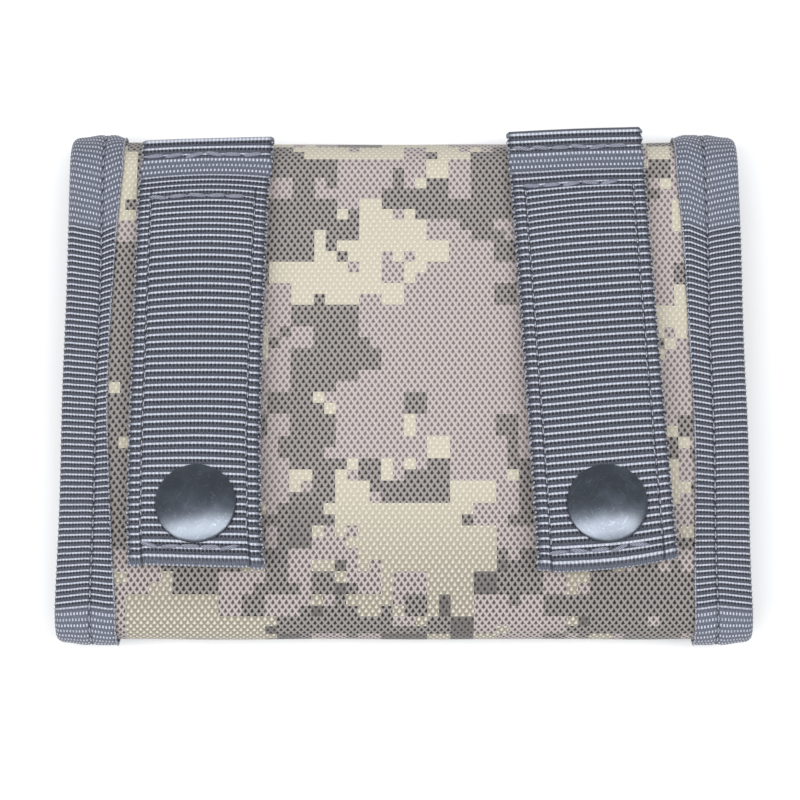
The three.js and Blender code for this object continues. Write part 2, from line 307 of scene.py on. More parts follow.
class Shader:
    """A node material with a few short ways to add nodes."""

    def __init__(self, name, roughness=0.8, metallic=0.0):
        self.material = bpy.data.materials.new(name)
        self.material.use_nodes = True
        self.tree = self.material.node_tree
        self.surface = self.tree.nodes["Principled BSDF"]
        self.set(Roughness=roughness, Metallic=metallic)

    def node(self, kind, inputs=(), output=0, **settings):
        made = self.tree.nodes.new(kind)
        for key, value in settings.items():
            setattr(made, key, value)
        for key, value in dict(inputs).items():
            self.give(made.inputs[key], value)
        return Value(self, made.outputs[output])

    def give(self, socket, value):
        if isinstance(value, Value):
            self.tree.links.new(value.socket, socket)
        else:
            socket.default_value = value

    def math(self, operation, *values):
        return self.node("ShaderNodeMath", enumerate(values), operation=operation)

    def vector(self, operation, *values, output=0):
        return self.node("ShaderNodeVectorMath", enumerate(values), output, operation=operation)

    def steps(self, value, low, high):
        inputs = {"Value": value, "From Min": low, "From Max": high}
        return self.node("ShaderNodeMapRange", inputs, interpolation_type="SMOOTHSTEP")

    def mix(self, factor, a, b, blend="MIX"):
        inputs = {0: factor, 6: a, 7: b}
        return self.node("ShaderNodeMix", inputs, 2, data_type="RGBA", blend_type=blend)

    def cloth(self):
        """The cloth's own coordinates, in millimetres: both, across and along."""
        uv = self.node("ShaderNodeUVMap", uv_map="cloth")
        u, v = (self.node("ShaderNodeSeparateXYZ", {0: uv}, axis) for axis in (0, 1))
        return uv, u, v

    def object_place(self):
        return self.node("ShaderNodeTexCoord", output="Object")

    def noise(self, place, scale, detail=2.0, rough=0.5):
        inputs = {"Vector": place, "Scale": scale, "Detail": detail, "Roughness": rough}
        return self.node("ShaderNodeTexNoise", inputs)

    def chance(self, place):
        return self.node("ShaderNodeTexWhiteNoise", {"Vector": place})

    def wave(self, value, period):
        """A cosine of the value, with that period."""
        return self.math("COSINE", value * (TAU / period))

    def bump(self, height, distance, strength=1.0):
        inputs = {"Height": height, "Distance": distance * MM, "Strength": strength}
        self.give(self.surface.inputs["Normal"], self.node("ShaderNodeBump", inputs))

    def set(self, **values):
        """Gives the surface's inputs, named with _ for a space, a constant or a Value."""
        for key, value in values.items():
            self.give(self.surface.inputs[key.replace("_", " ")], value)


def srgb(red, green, blue):
    """A colour given as it appears on a screen, made linear."""
    return (*[((c / 255 + 0.055) / 1.055) ** 2.4 for c in (red, green, blue)], 1.0)


WEAVE_X, WEAVE_Y = 1.24, 1.69  # the repeat of the basket weave
WEAVE_LEAN = 0.066
BLOCK = 2.15  # one square of the printed pattern


def weave_height(shader, u, v, period_x, period_y, lean=0.0):
    """Staggered crossings: 1 in the middle of each, -1 on the net between; and how far up it a point is."""
    leaning = (v * lean + u) * (TAU / period_x)
    right = leaning + v * (TAU / period_y)
    left = leaning - v * (TAU / period_y)
    height = shader.math("MINIMUM", shader.math("COSINE", right), shader.math("COSINE", left))
    return height, shader.math("SINE", right) - shader.math("SINE", left)


# Large soft patches of the print on the back panel: x, y, half width, half height, tan share, dark share.
PATCHES = [
    (9, 35, 15, 4.5, -0.5, 0.9),
    (-21, 38, 6, 7, -0.3, 0.5),
    (-8, 23, 17, 9, 0.8, -0.5),
    (-17, 6, 10, 9, -0.2, 0.7),
    (10, 8, 14, 24, -0.8, -0.9),
    (3, -33, 17, 12, 0.9, -0.6),
    (-20, -20, 6, 16, -0.3, 0.9),
    (-14, -47, 13, 4, -0.6, 0.9),
    (-44, -47, 14, 7, 0.9, -0.8),
    (40, -43, 17, 7, -0.4, 0.7),
    (-5, 46, 13, 4, 0.8, -0.4),
    (32, 18, 8, 10, 0.5, -0.2),
    (47, 30, 5, 12, 0.3, -0.2),
    (-53, 10, 4, 22, 0.2, 0.4),
]
TAN = srgb(218, 211, 193), srgb(190, 183, 166)
GREY = srgb(118, 108, 107), srgb(188, 178, 175)
DARK = srgb(54, 50, 49), srgb(153, 147, 143)


def camouflage():
    """Woven nylon printed with square blocks in tan, pinkish grey and foliage grey."""
    shader = Shader("camouflage_cloth", roughness=0.72)
    uv, u, v = shader.cloth()
    fine = shader.vector("SNAP", uv, (BLOCK, BLOCK, 1.0))
    coarse = shader.vector("SNAP", uv, (2 * BLOCK, 2 * BLOCK, 1.0))
    is_fine = shader.chance(coarse) > 0.62
    block = shader.node("ShaderNodeMix", {0: is_fine, 4: coarse, 5: fine}, 1, data_type="VECTOR")
    tan_share = 0.0
    dark_share = 0.0
    for x, y, width, height, tan, dark in PATCHES:
        offset = shader.vector("SUBTRACT", block, (x, WRAP.y_to_s(y), 0.0))
        reach = shader.vector("MULTIPLY", offset, (1 / width, 1 / height, 0.0))
        near = shader.steps(shader.vector("LENGTH", reach, output="Value"), 1.35, 0.35)
        tan_share = near * (tan * 0.2) + tan_share
        dark_share = near * (dark * 0.2) + dark_share
    broad = shader.noise(block, 0.075, 3.0, 0.62)
    other = shader.noise(shader.vector("ADD", block, (317.0, 91.0, 0.0)), 0.085, 3.0, 0.65)
    speckle = shader.chance(block) * 0.13 + -0.065
    is_tan = broad + tan_share + speckle > 0.54
    is_dark = other + dark_share - speckle > 0.535

    height, upwards = weave_height(shader, u, v, WEAVE_X, WEAVE_Y, WEAVE_LEAN)
    fibre = shader.noise(uv, 3.2, 2.0)
    yarn = shader.steps(upwards * -0.3 + (fibre * 0.9 + height), -0.5, 1.05)
    dots = shader.mix(is_dark, shader.mix(is_tan, GREY[0], TAN[0]), DARK[0])
    nets = shader.mix(is_dark, shader.mix(is_tan, GREY[1], TAN[1]), DARK[1])
    printed = shader.mix(yarn, nets, dots)
    uneven = shader.node("ShaderNodeMapRange", {"Value": fibre, "To Min": 0.82, "To Max": 1.13})
    # Painted shade: towards the lower fold, where the cloth is pulled open and turns away from the light,
    # it is painted a little darker overall and much darker in the gaps between yarns, the dots of the greys
    # and the nets of the tan.
    lower_fold_shade = shader.steps(v, WRAP.y_to_s(-16), WRAP.y_to_s(-46))
    gap_shade = abs(yarn - is_tan) * lower_fold_shade * -0.42 + 1.0
    uneven = uneven * (lower_fold_shade * -0.07 + gap_shade)
    # shade carries the fibre's random tone times this painted shade towards the lower fold.
    shade = shader.node("ShaderNodeCombineColor", {0: uneven, 1: uneven, 2: uneven})
    shader.bump(height, 0.12, 0.8)
    shader.set(
        Base_Color=shader.mix(1.0, printed, shade, "MULTIPLY"),
        Sheen_Weight=0.08, Sheen_Roughness=0.5, Specular_IOR_Level=0.25,
    )
    return shader.material


def ribbed(name, bead, loose, seam, sewn_from, selvedge):
    """Ribbed tape: a beaded light cord at each pitch and dark warp yarns between.

    bead is the length of one bead. In the loose stretches along the tape only the tops of the cords
    show, as dots. seam is where a line of stitches parts the ribs, painted dark there as painted shade
    in its groove, and sewn_from where along the tape that line starts. selvedge is the width of a looped
    edge.
    """
    pitch = PITCH[name]
    shader = Shader(name, roughness=0.62)
    uv, u, v = shader.cloth()
    turn = v / pitch
    row = shader.math("FLOOR", turn + 0.5)
    phase = turn - row
    fibre = shader.noise(uv, 2.6, 3.0)
    beads = shader.wave(fibre * (0.25 * bead) + u, bead)
    ticks = shader.wave(u, bead / 2)
    cord = shader.steps(abs(phase), 0.19, 0.08)
    cord_light = beads * 0.24 + (fibre * 1.1 + 0.2)
    teeth_zone = shader.steps(phase, 0.1, 0.18) * shader.steps(phase, 0.5, 0.42)
    teeth = teeth_zone * shader.steps(fibre * 0.9 + beads, 1.05, 0.35)
    ground_level = ticks * 0.2 + fibre
    ground = shader.mix(ground_level, srgb(29, 32, 42), srgb(100, 104, 117))
    ground = shader.mix(teeth, ground, srgb(18, 20, 28))
    light = srgb(206, 210, 223)
    tight = shader.mix(cord * cord_light, ground, light)
    edge_gap = shader.steps(u, 2.6 * selvedge, 1.8 * selvedge)
    tight = shader.mix(edge_gap * 0.6, tight, srgb(30, 33, 43))
    edge_loops = shader.steps(u, selvedge, 0.7 * selvedge) * shader.wave(v, 1.3 * bead)
    tight = shader.mix(edge_loops * 0.7, tight, light)

    staggered = shader.math("COSINE", u * (TAU / bead) + row * math.pi)
    dots = shader.steps(shader.wave(v, pitch), -0.2, 0.6) * shader.steps(staggered, -0.3, 0.5)
    slack_ground = shader.mix(ground_level, srgb(54, 58, 70), srgb(119, 123, 137))
    slack = shader.mix(dots * cord_light, slack_ground, light)

    is_loose = 0.0
    for start, end in loose:
        inside = shader.steps(v, start - 1, start + 1) * shader.steps(v, end + 1, end - 1)
        is_loose = shader.math("MAXIMUM", is_loose, inside)
    # Painted shade: along the line of stitches the tape is painted dark, for the shade in the groove that
    # the stitches pull in.
    sewn = shader.steps(v, sewn_from, sewn_from + 1) * 0.75
    seam_shade = shader.steps(abs(u - seam), 0.3, 0.12) * sewn
    shader.bump(beads * cord + ticks * 0.4, 0.07, 0.7)
    shader.set(
        Base_Color=shader.mix(seam_shade, shader.mix(is_loose, tight, slack), srgb(26, 28, 37)),
        Sheen_Weight=0.12, Sheen_Roughness=0.4, Specular_IOR_Level=0.3,
    )
    return shader.material


def plain_weave(name, period, dark, light):
    """Fine plain-woven cloth."""
    shader = Shader(name, roughness=0.7)
    uv, u, v = shader.cloth()
    height, _ = weave_height(shader, u, v, period, period)
    level = height * 0.3 + shader.noise(uv, 1.1, 4.0)
    shader.bump(height, 0.08, 0.8)
    colour = shader.mix(shader.steps(level, 0.1, 0.9), dark, light)
    shader.set(Base_Color=colour, Sheen_Weight=0.1, Specular_IOR_Level=0.3)
    return shader.material


def thread_material(name, dark, light):
    """Twisted bonded thread."""
    shader = Shader(name, roughness=0.5)
    uv, u, v = shader.cloth()
    twist = shader.wave(u * 1.6 + v, 0.62)
    level = twist * 0.3 + shader.noise(uv, 4.0, 3.0)
    shader.bump(twist, 0.08, 0.8)
    shader.set(Base_Color=shader.mix(shader.steps(level, 0.2, 0.85), dark, light), Sheen_Weight=0.2)
    return shader.material


def gunmetal():
    """Dark oxidised snap metal, with hairline scratches in several directions."""
    shader = Shader("snap_metal", metallic=1.0)
    place = shader.object_place()
    scratches = 0.0
    for turn, width in ((0.6, 5200), (1.1, 6400), (2.3, 5600), (2.9, 7000)):
        turned = shader.node("ShaderNodeVectorRotate", {"Vector": place, "Angle": turn})
        stretched = shader.vector("MULTIPLY", turned, (width, width / 22, width))
        scratches = shader.steps(shader.noise(stretched, 1.0, 1.0), 0.66, 0.78) + scratches
    rubbed = shader.steps(shader.noise(place, 330.0, 4.0), 0.35, 0.75)
    base = shader.mix(rubbed, srgb(60, 68, 80), srgb(76, 85, 97))
    shader.bump(shader.noise(place, 5200.0, 2.0), 0.006, 0.3)
    shader.set(
        Base_Color=shader.mix(scratches * 0.3, base, srgb(150, 160, 172)),
        Roughness=rubbed * 0.06 + 0.3, Coat_Weight=0.85, Coat_Roughness=0.26, Coat_IOR=1.7,
    )
    return shader.material


def simple(name, colour, roughness, scale, distance, **settings):
    """A solid material with a fine random grain."""
    shader = Shader(name, roughness=roughness)
    grain = shader.noise(shader.object_place(), scale, 4.0)
    darker = tuple(0.6 * c for c in colour[:3]) + (1.0,)
    shader.bump(grain, distance, 0.6)
    shader.set(Base_Color=shader.mix(shader.steps(grain, 0.3, 0.7), darker, colour), **settings)
    return shader.material


PITCH = {"strap_webbing": 1.42, "binding_tape": 1.17}  # from rib to rib
TAPE_STEP = PITCH["binding_tape"] / 6  # between the rings that the tape is swept through
TAPE_DEPTH = 3.3  # front face to rear face of the folded tape
EDGE_RADIUS = TAPE_DEPTH / 2
STITCH_INSET = 6.6  # seam in the tape, in from its folded edge
TAPE_SEAM = STITCH_INSET + (math.pi / 2 - 1) * EDGE_RADIUS  # the same, along the tape from the fold
SIDE_STITCH = 2.6  # seam in the straps, in from the webbing's edge
# Where each tape is loose, as lengths from the seam in the back, and from the fold at the strap's free end.
TAPE_LOOSE = (
    (WRAP.top_start - 2 - BACK_SEAM, WRAP.top_end + 11 - BACK_SEAM),
    (WRAP.bottom_start + 1.2 - BACK_SEAM, WRAP.bottom_end + 1 - BACK_SEAM),
)
# Along the webbing from the fold at its free end: the first row of stitches and the top of the side seams.
FIRST_ROW = -83.2
SIDE_SEAM_TOP = -75.3
# Counted like TAPE_LOOSE. Only the end tapes reach further out, and that part of them shows no seam line.
TAPE_SEAM_START = -200
STRAP_LOOSE = ((FIRST_ROW + 0.5, FIRST_ROW + 4.9), (0.6, 3.2))

MATERIALS = {
    "camouflage_cloth": camouflage(),
    "strap_webbing": ribbed(
        "strap_webbing", bead=0.72, loose=STRAP_LOOSE,
        seam=SIDE_STITCH, sewn_from=SIDE_SEAM_TOP, selvedge=0.35,
    ),
    "binding_tape": ribbed(
        "binding_tape", bead=0.59, loose=TAPE_LOOSE,
        seam=TAPE_SEAM, sewn_from=TAPE_SEAM_START, selvedge=0.0,
    ),
    "lining_cloth": plain_weave("lining_cloth", 0.7, srgb(84, 88, 90), srgb(132, 136, 137)),
    "thick_thread": thread_material("thick_thread", srgb(76, 79, 95), srgb(176, 179, 197)),
    "thin_thread": thread_material("thin_thread", srgb(110, 114, 128), srgb(206, 210, 222)),
    "snap_metal": gunmetal(),
    "foam": simple("foam", srgb(150, 150, 146), 0.95, 900.0, 0.15),
    "hook_and_loop": simple("hook_and_loop", srgb(98, 102, 110), 0.95, 1600.0, 0.5, Sheen_Weight=0.3),
    "stiffener": simple("stiffener", srgb(40, 40, 43), 0.5, 500.0, 0.02),
    "clear_vinyl": simple("clear_vinyl", srgb(225, 230, 230), 0.12, 2500.0, 0.01, Alpha=0.35),
}


def rib_height(length, pitch, size):
    """The relief of ribbed tape: a raised cord at each pitch and a low swell between cords."""
    phase = np.cos(length * TAU / pitch)
    return size * (smooth_step(phase, 0.45, 1.0) - 0.3 * smooth_step(-phase, 0.0, 1.0))


# ---- Cloth layers that run round the folds ----

# How deep each layer lies below the skin of the binding tape, and how thick it is.
SHELL_DEPTH, SHELL_THICKNESS = 0.62, 0.45
LINING_DEPTH, LINING_THICKNESS = 2.55, 0.25
BILL_DEPTH = 3.05
SHEET_HALF_WIDTH = HALF_WIDTH - 4
SHEET_ENDS = (0.8, WRAP.end - 0.8)  # inside the end tapes


FINE_STEP = 0.45  # between stations round a fold


def along(start, end, coarse):
    """Stations from start to end, closer together round the folds."""
    stations = [start]
    while stations[-1] < end - 1e-6:
        s = stations[-1]
        in_top = WRAP.top_start - 3 < s < WRAP.top_end + 3
        in_bottom = WRAP.bottom_start - 3 < s < WRAP.bottom_end + 3
        stations.append(min(end, s + (FINE_STEP if in_top or in_bottom else coarse)))
    return np.array(stations)


def flatness(s):
    """1 in the middle of a panel, falling to 0 at its folds and free edges."""
    edges = [(0, WRAP.top_start), (WRAP.top_end, WRAP.bottom_start), (WRAP.bottom_end, WRAP.end)]
    total = 0.0
    for start, end in edges:
        total = total + window(s, start - 2, start + 16, end - 16, end + 2)
    return total


# How wide the tape lies on the back, measured at the top, middle and bottom of the panel.
TAPE_LEGS = {"left": (10.5, 8.8, 11.4), "right": (12.2, 10.4, 10.9)}


def tape_legs(side, s):
    top, middle, bottom = TAPE_LEGS[side]
    share = np.clip((s - WRAP.top_end) / (WRAP.bottom_start - WRAP.top_end), 0, 1)
    at_ends = top * (1 - share) * (1 - 2 * share) + bottom * share * (2 * share - 1)
    return at_ends + 4 * middle * share * (1 - share)


def shell_lift(x, s):
    """How far the padded shell stands proud of its own seam level."""
    leg = np.where(x < 0, tape_legs("left", s), tape_legs("right", s))
    side = smooth_step(HALF_WIDTH - np.abs(x), leg - 0.5, leg + 12)
    on_back = window(s, WRAP.top_end - 6, WRAP.top_end + 6, WRAP.bottom_start - 4, WRAP.bottom_start + 6)
    pillow = side * (0.15 + 0.75 * flatness(s)) * (0.35 + 0.65 * on_back)
    over_top = window(s, WRAP.top_start - 3, WRAP.top_middle, WRAP.top_middle, WRAP.top_end + 3)
    drawn_in = 0.5 * np.clip(1 - (x / 52) ** 4, 0, 1) * over_top
    from_end = np.minimum(s, WRAP.end - s)
    under_end = 0.75 * (1 - smooth_step(from_end, 8.5, 14))
    on_outer = 1 - smooth_step(s, WRAP.top_start - 1, WRAP.top_start + 8)
    under_side = 0.7 * on_outer * (1 - smooth_step(HALF_WIDTH - np.abs(x), leg - 1.5, leg + 1))
    under_tape = np.maximum(under_end, under_side)
    return pillow - drawn_in - under_tape + 0.12 * side * ripple(x, s, (27, 41), SEED)


def layer_piece(name, section, depth, half_width, ends, slot, coarse, thickness, lift=None):
    """One section of a cloth layer, between the layer's own ends."""
    start = max(SECTIONS[section][0], ends[0])
    end = min(SECTIONS[section][1], ends[1])
    s = along(start, end, coarse)
    x = np.linspace(-half_width, half_width, int(2 * half_width / coarse) + 1)
    grid_s, grid_x = np.meshgrid(s, x, indexing="ij")
    depths = depth - (lift(grid_x, grid_s) if lift else 0.0) + 0 * grid_s
    points = on_wrap(grid_x, grid_s, depths)
    uv = np.stack([grid_x, grid_s], -1)
    piece = grid_piece(name, points[:, ::-1], uv[:, ::-1], MATERIALS[slot], thickness)
    flat = (2 * half_width * MM, (end - start) * MM)
    held = "folded" if section in ("outer", "upper") else "stretched"
    return bend(piece, section)


SHELL_NODES = {
    "outer": ["outer_flap"],
    "upper": ["top_spine", "back"],
    "lower": ["bottom_spine"],
    "inner": ["inner_flap"],
}
for section, bodies in SHELL_NODES.items():
    shell = layer_piece(
        f"shell_{section}", section, SHELL_DEPTH, SHEET_HALF_WIDTH, SHEET_ENDS, "camouflage_cloth",
        coarse=1.0, thickness=SHELL_THICKNESS, lift=shell_lift,
    )
    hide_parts(*[f"{body}_shell" for body in bodies])
    lining = layer_piece(
        f"lining_{section}", section, LINING_DEPTH, SHEET_HALF_WIDTH, SHEET_ENDS, "lining_cloth",
        coarse=2.0, thickness=LINING_THICKNESS,
    )
    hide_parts(*[f"{body}_lining" for body in bodies])

BILL_HALF_WIDTH = box_mm("back_bill_wall")[1][0]
BILL_ENDS = (box_mm("outer_flap_bill_wall")[0][1] - OUTER_END, WRAP.bottom_start + 1.5)
BILL_NODES = {"outer": ["outer_flap"], "upper": ["top_spine", "back"], "lower": []}
for section, bodies in BILL_NODES.items():
    wall = layer_piece(
        f"bill_wall_{section}", section, BILL_DEPTH, BILL_HALF_WIDTH, BILL_ENDS, "lining_cloth",
        coarse=2.0, thickness=LINING_THICKNESS,
    )
    if bodies:
        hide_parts(*[f"{body}_bill_wall" for body in bodies])


# ---- Binding tape ----

TAPE_THICKNESS = 0.5
# Each kind of stitch: length, width and height.
THIN_STITCH = (1.5, 0.26, 0.3)
SELVEDGE_STITCH = (1.0, 0.3, 0.34)
THICK_STITCH = (3.7, 0.8, 0.62)
SEAM_STITCH = (1.3, 0.24, 0.24)
SEAM_FACES = ((0.12, 1), (TAPE_DEPTH - 0.12, -1))  # depth and facing of the seam's thread, front and rear
GROOVE_WIDTH = 0.45  # of the dent that a seam pulls into tape


def tape_section(leg):
    """Cross-section of folded binding tape: (in from the edge, depth), outer side then inner side."""
    beside_seam = STITCH_INSET + np.array([-0.5, -0.25, 0, 0.25, 0.5])
    insets = np.sort(np.concatenate([np.linspace(leg, EDGE_RADIUS, 15), beside_seam]))
    front = [(a, 0.0) for a in insets[::-1]]
    angles = np.linspace(0, math.pi, 9)[1:-1]
    arc = [(EDGE_RADIUS * math.sin(t), EDGE_RADIUS * math.cos(t)) for t in angles]
    round_edge = [(EDGE_RADIUS - a, EDGE_RADIUS - depth) for a, depth in arc]
    rear = [(a, TAPE_DEPTH) for a in np.linspace(EDGE_RADIUS, leg, 12)]
    return np.array(front + round_edge + rear)


def vee(a, s):
    """The rows of the tape dip where the stitch line pulls them, and rise there beside the bottom fold."""
    down = s - WRAP.top_end
    depth = np.interp(down, [0, 6, 24, 60, 76, 84], [1.7, 1.7, 1.0, 0.35, -0.1, -0.5])
    outer = np.clip(1 - (STITCH_INSET - a) / 6, 0, 1)
    inner = np.clip(1 - (a - STITCH_INSET) / 3.4, 0, 1)
    return depth * np.where(a < STITCH_INSET, outer, inner)


def looseness(v, ranges):
    total = 0.0 * v
    for start, end in ranges:
        total = total + window(v, start - 1, start + 1, end - 1, end + 1)
    return total


def tape_piece(name, length, place, legs, pull=None):
    """Sweeps ribbed tape along length. place(length, in from the edge, depth) gives the points.

    legs is how wide the tape lies at each length, and pull how far its rows are drawn along it.
    """
    pitch = PITCH["binding_tape"]
    rings, uvs = [], []
    for s, leg in zip(length, legs):
        outline = tape_section(leg)
        a, depth = outline[:, 0], outline[:, 1]
        path = np.concatenate([[0], np.cumsum(np.hypot(np.diff(a), np.diff(depth)))])
        groove = np.exp(-(((a - STITCH_INSET) / GROOVE_WIDTH) ** 2))
        v = s - BACK_SEAM
        relief = rib_height(v, pitch, 0.17 * (1 - 0.6 * looseness(v, TAPE_LOOSE))) - 0.3 * groove
        droop = 0.5 * (1 - smooth_step(a, EDGE_RADIUS, EDGE_RADIUS + 4))
        toward = np.where(depth < EDGE_RADIUS, 1.0, -1.0)
        squeeze = np.clip(1 - np.abs(depth - EDGE_RADIUS) / EDGE_RADIUS, 0, 1)
        tuck = 0.2 * smooth_step(a, leg - 0.8, leg)
        level = depth + toward * ((droop - relief) * (1 - squeeze) + tuck)
        reach = a - squeeze * relief
        under = depth + toward * (TAPE_THICKNESS + droop * (1 - squeeze))
        under_a = np.maximum(a, TAPE_THICKNESS)
        ring_a = np.concatenate([reach, under_a[::-1]])
        ring_level = np.concatenate([level, under[::-1]])
        shift = pull(ring_a, s) if pull else 0 * ring_a
        rings.append(place(s + shift, ring_a, ring_level))
        from_fold = np.abs(path - path[-1] / 2)
        uvs.append(np.stack([np.concatenate([from_fold, from_fold[::-1]]), np.full(len(ring_a), v)], -1))
    piece = tube_piece(name, np.array(rings), np.array(uvs), MATERIALS["binding_tape"])
    return piece


def stitches(name, row, size, material="thin_thread"):
    """Short plump thread stitches. row holds each one's place, direction and normal."""
    length, width, height = size
    ring = np.linspace(0, TAU, 9)[:-1]
    spine = np.linspace(-1, 1, 7)
    swell = np.sqrt(np.clip(1 - np.abs(spine) ** 3, 0.02, 1))
    points, faces, uvs = [], [], []
    for place, way, normal in row:
        side = np.cross(normal, way)
        base = len(points)
        for t, fat in zip(spine, swell):
            sink = -0.35 * height * t**4
            for angle in ring:
                offset = fat * (width / 2 * math.cos(angle) * side + height / 2 * math.sin(angle) * normal)
                points.append(place + t * length / 2 * way + offset + sink * normal)
                uvs.append((angle * width / 2, t * length / 2 + base))
        faces += (grid_faces(len(spine), len(ring), closed=True) + base).tolist()
        faces.append([base + i for i in range(len(ring))])
        faces.append([base + (len(spine) - 1) * len(ring) + i for i in reversed(range(len(ring)))])
    return new_mesh(name, np.array(points), faces, np.array(uvs), MATERIALS[material])


def tape_level(s, a, leg):
    """The tape stands proud at the folds, where it is thickest, and is pressed flat against the floor."""
    at_top = 0.9 * np.exp(-(((s - WRAP.top_middle) / 9) ** 2)) * (1 - 0.8 * smooth_step(a, leg - 2.4, leg))
    at_bottom = 0.5 * np.exp(-(((s - WRAP.bottom_middle) / 6) ** 2))
    return 0.5 * (1 - smooth_step(s, WRAP.top_start - 1, WRAP.top_start + 8)) - at_top - at_bottom


def side_place(side, sign):
    def place(s, a, level):
        waver = 0.2 * ripple(sign * 50.0, s, (38, 61), SEED + 3)
        x = sign * (HALF_WIDTH - 0.25 - a + waver)
        return on_wrap(x, s, level + tape_level(s, a, tape_legs(side, s)))
    return place


def skin_normal(s):
    return np.array([0, *WRAP.at(np.array([s]))[1][0]])


def stitch_row(place, lengths, insets, level, normal, pull=None):
    """The place, direction and normal of a stitch at each length and inset of a tape."""
    row = []
    for s, a in zip(lengths, insets):
        inset = np.array([a])
        at = s + (pull(inset, s) if pull else 0 * inset)
        here = place(at, inset, np.array([level]))[0]
        ahead = place(at + 0.1, inset, np.array([level]))[0]
        row.append((here, direction(here, ahead), normal(s)))
    return row


def seam_rows(place, lengths, normal, pull=None):
    """The stitches of the seam that holds a folded tape, on its front and on its rear."""
    rows = []
    insets = np.full(len(lengths), STITCH_INSET)
    for level, facing in SEAM_FACES:
        rows += stitch_row(place, lengths, insets, level, lambda s: facing * normal(s), pull)
    return rows


TAPE_NODES = {
    "outer": ("outer_flap_binding", "top_spine_binding_{}"),
    "upper": ("back_binding_{}",),
    "lower": ("bottom_spine_binding_{}",),
    "inner": ("inner_flap_binding",),
}


def side_tape(side, sign, section):
    """One section of the tape that binds a side, with its seam and the chain along its selvedge."""
    place = side_place(side, sign)
    start, end = SECTIONS[section]
    length = np.linspace(start, end, int(round((end - start) / TAPE_STEP)) + 1)
    tape = tape_piece(f"tape_{section}_{side}", length, place, tape_legs(side, length), vee)
    if sign > 0:
        tape.data.flip_normals()
    bend(tape, section)
    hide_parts(*[node.format(side) for node in TAPE_NODES[section]])
    middles = np.arange(start + PITCH["binding_tape"], end - 0.6, 2 * PITCH["binding_tape"])
    chain = np.arange(start + 0.4, end - 0.4, 1.1)
    selvedge = tape_legs(side, chain) - 0.15
    for name, row, size in (
        ("thread", seam_rows(place, middles, skin_normal, vee), THIN_STITCH),
        ("selvedge", stitch_row(place, chain, selvedge, -0.05, skin_normal), SELVEDGE_STITCH),
    ):
        thread = stitches(f"tape_{name}_{section}_{side}", row, size)
        bend(thread, section)


for side, sign in (("left", -1), ("right", 1)):
    for section in SECTIONS:
        side_tape(side, sign, section)


END_TAPE_LEG = 10.3


def end_tape(name, body, at_end):
    """The same tape across a flap's free edge, tucked under the side tapes."""
    inward = 1 if at_end == 0 else -1
    reach = HALF_WIDTH - 3.0

    def place(x, a, level):
        return on_wrap(x + 0 * a, at_end + inward * a, level * 0.8 + 0.5)

    length = np.linspace(-reach, reach, int(round(2 * reach / TAPE_STEP)) + 1)
    tape = tape_piece(name, length, place, np.full(len(length), END_TAPE_LEG))
    if inward < 0:
        tape.data.flip_normals()
    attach(tape, body)
    middles = np.arange(-reach + 9, reach - 9, 2 * PITCH["binding_tape"])
    seam = seam_rows(place, middles, lambda x: skin_normal(at_end))
    thread = stitches(f"{name}_thread", seam, THIN_STITCH)
    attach(thread, body)


end_tape("tape_outer_end", "outer_flap", 0)
end_tape("tape_inner_end", "inner_flap", WRAP.end)


# ---- Carry straps ----

STRAP_THICKNESS = 1.0
STRAP_SPACING = 1.6  # between the middles of the two layers
ANCHOR_LEVEL = -0.62  # middle of the sewn-down end's upper layer, from the hinge line
LOWER_LEVEL = -0.9
UPPER_LEVEL = LOWER_LEVEL + STRAP_SPACING
STRAP_TILT = math.radians(2.6)
COLUMNS = 43  # points across one face of the webbing
UP = np.array([0, 0, 1.0])
ROW_INSETS = (0.8, 2.2, 2.3)  # how far in from the webbing's edges each row of thick stitches stops
SIDE_SEAM_END = 75  # where the side stitches stop, from the hinge line
END_RIB = 0.3  # from the last rib to the start of the fold at the strap's free end
# How each strap lies. rows are its rows of thick stitches, by distance from the hinge line. At the
# stations, also from there, bow is how far the middle of a rib bows towards the hinge, slope how far
# ribs slope, sway how far the strap lies to the right and waist how much narrower it is. ends is how
# far the ends of a rib drop beyond the side stitches. extra is what the anchor, the free end and the
# width have more than the CAD webbing.
LIE_STATIONS = (-6, 0, 8, 30, 55, 72, 79)
LIES = {
    "left": {
        "rows": (-1.9, 7.6, 75.9),
        "bow": (0.1, 0.5, 1.0, 0.5, 0.3, 0.1, -0.1),
        "slope": (0.04, 0.02, 0.015, 0.01, 0, -0.01, -0.02),
        "sway": (0.15, -0.1, -0.5, -0.75, -0.8, -0.4, 0.2),
        "waist": (-0.3, -0.2, 0, 0.5, 0.5, 0.2, 0),
        "ends": (0.3, 0.3),
        "extra": (0.5, 1.3, 0.0),
    },
    "right": {
        "rows": (-3.75, 4.4, 75.9),
        "bow": (0.1, 0.05, 0.5, 0.25, 0.0, -0.3, -0.8),
        "slope": (-0.01, -0.02, 0.03, 0.03, 0.03, 0.045, 0.055),
        "sway": (0, 0, 0, 0, 0, 0, 0),
        "waist": (-0.3, -0.3, 0, 0.2, 0.2, 0.1, -0.2),
        "ends": (-0.3, 0.0),
        "extra": (1.6, 1.3, 0.8),
    },
}


